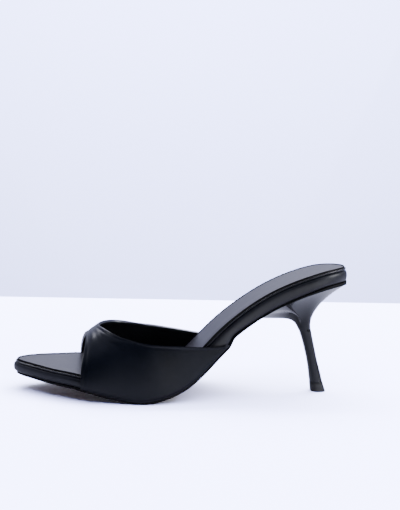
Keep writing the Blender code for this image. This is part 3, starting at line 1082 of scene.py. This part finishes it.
def runTree(piece, tree, values):
    # give the modifier its inputs by socket identifier, then turn the result into plain mesh
    modifier = piece.modifiers.new(tree.name, "NODES")
    modifier.node_group = tree
    for item in tree.interface.items_tree:
        if item.item_type == "SOCKET" and item.in_out == "INPUT" and item.name in values:
            modifier[item.identifier] = values[item.name]
    return bake(piece)


def pathPiece(name, paths):
    # a mesh of loose edges, one chain for each path
    points = []
    edges = []
    for path in paths:
        start = len(points)
        points.extend(tuple(point) for point in path)
        edges.extend((start + i, start + i + 1) for i in range(len(path) - 1))
    mesh = bpy.data.meshes.new(name)
    mesh.from_pydata(points, edges, [])
    piece = bpy.data.objects.new(name, mesh)
    bpy.context.scene.collection.objects.link(piece)
    return piece


treadSizes = {
    "pitch": 2.6 * mm,
    "ribWidth": 1.5 * mm,
    "from": 16 * mm,
    "to": 122 * mm,
    "margin": 1.2 * mm,           # from a rib's end to the sole's border
    "points": 9,
    "depth": 0.03 * mm,           # ribs stand this much behind the border's face
    "floorGap": 0.02 * mm,
}


def buildTread():
    # fine ribs across the forefoot, almost flush with the sole's border
    sizes = treadSizes
    middle = 0.5 * outsoleSizes["recess"]
    paths = []
    for station in np.arange(sizes["from"], sizes["to"], sizes["pitch"]):
        reach = halfWidth(station) - outsoleSizes["border"] - sizes["margin"]
        across = middleAt(station) + reach * np.linspace(-1, 1, sizes["points"])
        path = place(station, middle + sizes["depth"] - outsoleFoot(station), across)
        path[:, 2] = np.maximum(path[:, 2], middle + sizes["floorGap"])
        paths.append(path)
    piece = pathPiece("forefoot_tread", paths)
    runTree(piece, sweepTree("treadBars"), {
        "Bar Width": sizes["ribWidth"],
        "Bar Height": outsoleSizes["recess"],
        "Finish": finishes["soleUnder"],
    })
    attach(piece, "root")
    return piece


buildSock()
edgePieces = [buildInsole()]
buildRand()
buildOutsole()
print("sole layers built")
buildTread()
print("tread built")
edgePieces.append(buildVamp())
print("vamp built")
buildHeel()
buildHeelTip()
print("heel built")


# Stage: a pale table that ends behind the shoe, and a far wall. Both are lit harder than the
# shoe is, so the shoe mirrors a second table and wall of ordinary brightness in their place,
# with black flags in front, as a studio has round a black object.
stageSizes = {
    "tableSide": 3.0,
    "tableBack": 0.386,
    "tableTurn": -4.25,
    "wallBack": 2.4,
    "wallSide": 9.0,
    "wallLevels": (-2.0, 4.0),
    "under": 0.6 * mm,            # the mirrored table lies this much lower
    "bounceFront": -0.24,         # and ends here in front of the shoe
    "flagSides": (-2.4, 0.35),
    "flagFront": -0.95,
    "flagLevels": (0.03, 1.20),
}
# Colour and roughness.
stageLooks = {
    "tablePale": (colour(0.86, 0.875, 0.91), 0.6),
    "wallPale": (colour(0.72, 0.76, 0.88), 0.8),
    "tableCool": (colour(0.80, 0.81, 0.93), 0.6),
    "wallCool": (colour(0.72, 0.735, 0.88), 0.8),
    "flagBlack": (colour(0.004, 0.004, 0.005), 0.9),
}
for stageName, (stageColour, stageRoughness) in stageLooks.items():
    finishes[stageName] = newMaterial(stageName, {
        "Base Color": stageColour, "Roughness": stageRoughness, "Specular IOR Level": 0.2,
    })[0]


def flatPiece(name, corners, material):
    mesh = bpy.data.meshes.new(name)
    mesh.from_pydata(corners, [], [tuple(range(len(corners)))])
    mesh.materials.append(finishes[material])
    piece = bpy.data.objects.new(name, mesh)
    bpy.context.scene.collection.objects.link(piece)
    return piece


def floorCorners(side, front, back, lean, level):
    return [
        (-side, front, level), (side, front, level),
        (side, back + side * lean, level), (-side, back - side * lean, level),
    ]


def standingCorners(left, right, depth, low, high):
    return [(left, depth, low), (right, depth, low), (right, depth, high), (left, depth, high)]


def onlySeen(piece):
    # seen by the camera, but neither mirrored by the shoe nor in the way of its light
    piece.visible_diffuse = False
    piece.visible_glossy = False
    piece.visible_shadow = False


def onlyMirrored(piece):
    # mirrored by the shoe, but not seen by the camera
    piece.visible_camera = False
    piece.visible_shadow = False


def buildStage():
    # gives back the collection of what the camera sees round the shoe
    sizes = stageSizes
    side = sizes["tableSide"]
    lean = math.tan(math.radians(sizes["tableTurn"]))
    front = sizes["bounceFront"]
    back = sizes["tableBack"]
    under = -sizes["under"]
    wallReach = sizes["wallSide"] / 2
    wallBack = sizes["wallBack"]
    low, high = sizes["wallLevels"]
    seenTable = floorCorners(side, -side, back, lean, 0)
    seenWall = standingCorners(-wallReach, wallReach, wallBack, low, high)
    seen = bpy.data.collections.new("seen_surroundings")
    for piece in (
        flatPiece("table_top", seenTable, "tablePale"),
        flatPiece("back_wall", seenWall, "wallPale"),
    ):
        onlySeen(piece)
        seen.objects.link(piece)
    mirroredTable = floorCorners(side, front, back, lean, under)
    mirroredWall = standingCorners(-wallReach, wallReach, wallBack + under, low, high)
    floorFlag = floorCorners(side, -side, front, 0, under)
    frontFlag = standingCorners(*sizes["flagSides"], sizes["flagFront"], *sizes["flagLevels"])
    onlyMirrored(flatPiece("mirrored_table", mirroredTable, "tableCool"))
    onlyMirrored(flatPiece("mirrored_wall", mirroredWall, "wallCool"))
    onlyMirrored(flatPiece("floor_flag", floorFlag, "flagBlack"))
    onlyMirrored(flatPiece("front_flag", frontFlag, "flagBlack"))
    return seen


# "lights" names what a lamp reaches: everything, the edges of insole and vamp, or the seen stage.
lamps = {
    "topLight": {
        "place": (0.10, 1.00, 1.20), "aim": (0.0, 0.0, 0.02), "size": (1.9, 0.7),
        "watts": 24, "tint": (0.87, 0.88, 1.0), "lights": "all",
    },
    "keyLight": {
        "place": (1.3, -0.35, 0.75), "aim": (0.0, 0.0, 0.03), "size": (0.5, 0.5),
        "watts": 12, "tint": (0.93, 0.94, 1.0), "lights": "all",
    },
    "frontCard": {
        "place": (0.55, -1.0, 0.00), "aim": (0.0, 0.0, 0.04), "size": (1.5, 0.40),
        "watts": 7.0, "tint": (0.92, 0.93, 1.0), "lights": "all",
    },
    "wallLight": {
        "place": (0.0, 1.1, 1.6), "aim": (0.0, 2.4, 0.4), "size": (2.5, 0.8),
        "watts": 42, "tint": (0.88, 0.90, 1.0), "lights": "all",
    },
    "edgeStrip": {
        "place": (0.16, 0.16, 1.50), "aim": (0.0, 0.0, 0.05), "size": (1.1, 0.35),
        "watts": 2.4, "tint": (0.92, 0.94, 1.0), "lights": "edges",
    },
    "sideStrip": {
        "place": (-1.20, 0.10, 0.36), "aim": (-0.06, 0.0, 0.03), "size": (0.3, 0.7),
        "watts": 4.0, "tint": (0.90, 0.92, 1.0), "lights": "edges",
    },
    "tableWash": {
        "place": (0.30, 0.0, 1.6), "aim": (0.05, 0.0, 0.0), "size": (3.0, 2.6),
        "watts": 560, "tint": (0.525, 0.55, 1.0), "lights": "surroundings",
    },
    "wallWash": {
        "place": (0.1, 0.9, 2.2), "aim": (0.0, 2.4, 0.9), "size": (3.0, 1.0),
        "watts": 640, "tint": (0.59, 0.615, 1.0), "lights": "surroundings",
    },
}
air = {"tint": colour(0.53, 0.55, 0.78), "strength": 0.60}


def areaLight(name, sizes):
    light = bpy.data.lights.new(name, "AREA")
    light.shape = "RECTANGLE"
    light.size, light.size_y = sizes["size"]
    light.energy = sizes["watts"]
    light.color = sizes["tint"]
    lamp = bpy.data.objects.new(name, light)
    lamp.location = sizes["place"]
    towards = Vector(sizes["aim"]) - Vector(sizes["place"])
    lamp.rotation_euler = towards.to_track_quat("-Z", "Y").to_euler()
    bpy.context.scene.collection.objects.link(lamp)
    return lamp


def buildLights(surroundings, edges):
    lit = {"surroundings": surroundings, "edges": bpy.data.collections.new("edge_pieces")}
    for piece in edges:
        lit["edges"].objects.link(piece)
    world = bpy.data.worlds.new("studioAir")
    world.use_nodes = True
    sky = world.node_tree.nodes["Background"]
    sky.inputs["Color"].default_value = air["tint"]
    sky.inputs["Strength"].default_value = air["strength"]
    bpy.context.scene.world = world
    for name, sizes in lamps.items():
        lamp = areaLight(name, sizes)
        if sizes["lights"] in lit:
            lamp.light_linking.receiver_collection = lit[sizes["lights"]]


# Camera: fitted to the photograph, which is 400 by 510. Its place is taken from the last's
# toe, its angles are in degrees and its sensor is in millimetres.
cameraFit = {
    "place": (107.5 * mm, -550.0 * mm, 155.0 * mm),
    "focalPixels": 797.2,
    "imageHeight": 510,
    "turn": 2.21,
    "down": 6.2,
    "roll": 0.67,
    "sensor": 36.0,
    "nearest": 10 * mm,
}


def buildCamera():
    fit = cameraFit
    turn, down, roll = (math.radians(fit[name]) for name in ("turn", "down", "roll"))
    forward = Vector((math.sin(turn), math.cos(turn), 0))
    ahead = math.cos(down) * forward - math.sin(down) * Vector((0, 0, 1))
    level = Vector((math.cos(turn), -math.sin(turn), 0))
    right = math.cos(roll) * level + math.sin(roll) * level.cross(ahead)
    above = right.cross(ahead)
    data = bpy.data.cameras.new("photoCamera")
    data.sensor_width = fit["sensor"]
    data.sensor_fit = "AUTO"
    data.lens = fit["focalPixels"] * fit["sensor"] / fit["imageHeight"]
    data.clip_start = fit["nearest"]
    camera = bpy.data.objects.new("photoCamera", data)
    turned = Matrix((right, above, -ahead)).transposed().to_4x4()
    camera.matrix_world = Matrix.Translation(Vector(fit["place"]) + Vector(lastShift)) @ turned
    bpy.context.scene.collection.objects.link(camera)
    bpy.context.scene.camera = camera


buildLights(buildStage(), edgePieces)
buildCamera()
print("stage, lights and camera set")
